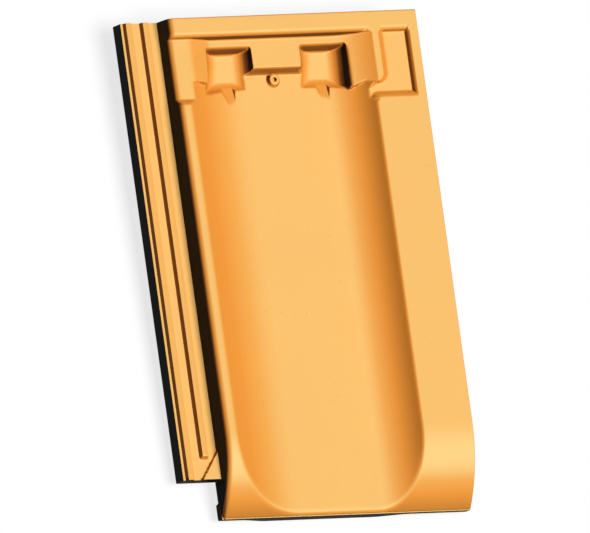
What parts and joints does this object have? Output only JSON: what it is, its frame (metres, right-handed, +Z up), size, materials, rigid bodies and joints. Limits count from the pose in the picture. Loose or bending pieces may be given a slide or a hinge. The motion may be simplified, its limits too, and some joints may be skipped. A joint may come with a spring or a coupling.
{
  "type": "clay roof tile",
  "caption": "Large-format interlocking clay roof tile with a wide trough, a side lap with drain grooves, a rolled foot edge and hanging nibs.",
  "frame": {"origin": "centre of the bounding box, on the floor that the tile lies on", "axes": "+X across the tile from the side lap to the cover edge, +Y up the roof from the foot edge to the head edge, +Z up, out of the weather face"},
  "size_m": [0.307, 0.463, 0.0557],
  "materials": {
    "fired_clay": "unglazed, smooth pressed clay with a light engobe"
  },
  "bodies": {
    "root": {"roof_tile": "fired_clay"}
  },
  "joints": []
}
